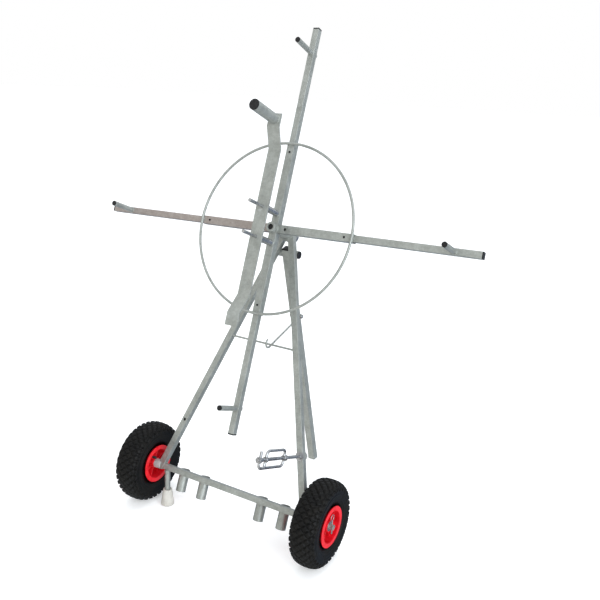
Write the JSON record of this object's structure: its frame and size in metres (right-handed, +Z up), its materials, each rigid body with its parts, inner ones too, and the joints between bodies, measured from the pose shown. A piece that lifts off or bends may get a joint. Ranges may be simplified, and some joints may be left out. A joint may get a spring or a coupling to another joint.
{
  "type": "garden hose reel cart",
  "caption": "Two-wheeled A-frame cart with a leaning cross-arm hose reel, a lift-off crank, a wire hose guide and a folding rear leg.",
  "frame": {"origin": "on the ground at the centre of the bounding box seen from above", "axes": "+X along the axle to the right of someone who stands at the crank, +Y to the back (towards the rear leg), +Z up"},
  "size_m": [1.302, 0.7496, 1.5258],
  "materials": {
    "galvanised_steel": "hot-dip galvanised, mottled",
    "zinc_plated_steel": "bright zinc",
    "black_plastic": "matt",
    "red_plastic": "satin",
    "cream_rubber": "matt",
    "tyre_rubber": "matt"
  },
  "bodies": {
    "frame": {"left_leg": "galvanised_steel", "right_leg": "galvanised_steel", "axle": "galvanised_steel", "axle_collars": "galvanised_steel", "axle_washers": "zinc_plated_steel", "linchpins": "zinc_plated_steel", "socket_outer_left": "galvanised_steel", "socket_inner_left": "galvanised_steel", "socket_inner_right": "galvanised_steel", "socket_outer_right": "galvanised_steel", "cross_rod": "galvanised_steel", "bearing_tube": "galvanised_steel", "pivot_knuckles": "galvanised_steel", "pivot_pin": "zinc_plated_steel", "pivot_plugs": "black_plastic", "foot_tube": "galvanised_steel", "foot_ferrule": "cream_rubber", "guide_spindle": "zinc_plated_steel", "guide_nuts": "zinc_plated_steel"},
    "left_wheel": {"tyre_left": "tyre_rubber", "rim_outer_left": "red_plastic", "rim_inner_left": "red_plastic", "rim_bolts_left": "zinc_plated_steel", "hub_bush_left": "black_plastic"},
    "right_wheel": {"tyre_right": "tyre_rubber", "rim_outer_right": "red_plastic", "rim_inner_right": "red_plastic", "rim_bolts_right": "zinc_plated_steel", "hub_bush_right": "black_plastic"},
    "reel": {"reel_shaft": "galvanised_steel", "shaft_plug": "black_plastic", "shaft_collar": "zinc_plated_steel", "fixed_arm_upper": "galvanised_steel", "fixed_arm_lower": "galvanised_steel", "fixed_arm_left": "galvanised_steel", "fixed_arm_right": "galvanised_steel", "hose_ring": "galvanised_steel", "crank_studs": "zinc_plated_steel", "clamp_screws": "zinc_plated_steel"},
    "upper_slide": {"arm_upper": "galvanised_steel", "peg_upper": "galvanised_steel", "plugs_upper": "black_plastic"},
    "lower_slide": {"arm_lower": "galvanised_steel", "peg_lower": "galvanised_steel", "plugs_lower": "black_plastic"},
    "left_slide": {"arm_left": "galvanised_steel", "peg_left": "galvanised_steel", "plugs_left": "black_plastic"},
    "right_slide": {"arm_right": "galvanised_steel", "peg_right": "galvanised_steel", "plugs_right": "black_plastic"},
    "crank": {"crank_bar": "galvanised_steel", "crank_handle": "galvanised_steel", "handle_plug": "black_plastic"},
    "rear_leg": {"rear_leg": "galvanised_steel", "rear_leg_plug": "black_plastic", "stay_bolt": "zinc_plated_steel"},
    "stay": {"stay_rod": "galvanised_steel"},
    "guide": {"guide_loop": "zinc_plated_steel"}
  },
  "joints": [
    {"name": "left_wheel_turn", "type": "hinge", "parent": "frame", "child": "left_wheel", "pos_m": [-0.325, -0.18787, 0.13], "axis": [1, 0, 0], "continuous": true},
    {"name": "right_wheel_turn", "type": "hinge", "parent": "frame", "child": "right_wheel", "pos_m": [0.325, -0.18787, 0.13], "axis": [1, 0, 0], "continuous": true},
    {"name": "reel_turn", "type": "hinge", "parent": "frame", "child": "reel", "pos_m": [0, 0.02722, 0.9247], "axis": [0, 0.9336, -0.3584], "continuous": true},
    {"name": "upper_arm_reach", "type": "slide", "parent": "reel", "child": "upper_slide", "axis": [-0.0244, 0.3583, 0.9333], "range_m": [-0.12, 0.025]},
    {"name": "lower_arm_reach", "type": "slide", "parent": "reel", "child": "lower_slide", "axis": [0.0244, -0.3583, -0.9333], "range_m": [-0.12, 0.025]},
    {"name": "left_arm_reach", "type": "slide", "parent": "reel", "child": "left_slide", "axis": [-0.9997, -0.0088, -0.0228], "range_m": [-0.12, 0.025]},
    {"name": "right_arm_reach", "type": "slide", "parent": "reel", "child": "right_slide", "axis": [0.9997, 0.0088, 0.0228], "range_m": [-0.12, 0.025]},
    {"name": "crank_lift_off", "type": "slide", "parent": "reel", "child": "crank", "axis": [0, -0.9336, 0.3584], "range_m": [0, 0.07]},
    {"name": "rear_leg_fold", "type": "hinge", "parent": "frame", "child": "rear_leg", "pos_m": [0, 0.10633, 0.8353], "axis": [-1, 0, 0], "range_deg": [0, 37]},
    {"name": "stay_swing", "type": "hinge", "parent": "rear_leg", "child": "stay", "pos_m": [0, 0.17504, 0.61057], "axis": [1, 0, 0], "range_deg": [0, 90]},
    {"name": "guide_turn", "type": "hinge", "parent": "frame", "child": "guide", "pos_m": [0.21769, -0.22138, 0.32175], "axis": [0, 0.9336, -0.3584], "continuous": true}
  ],
  "couplings": [
    {"joint": "stay_swing", "follows": "rear_leg_fold", "ratio": 2.4324}
  ]
}
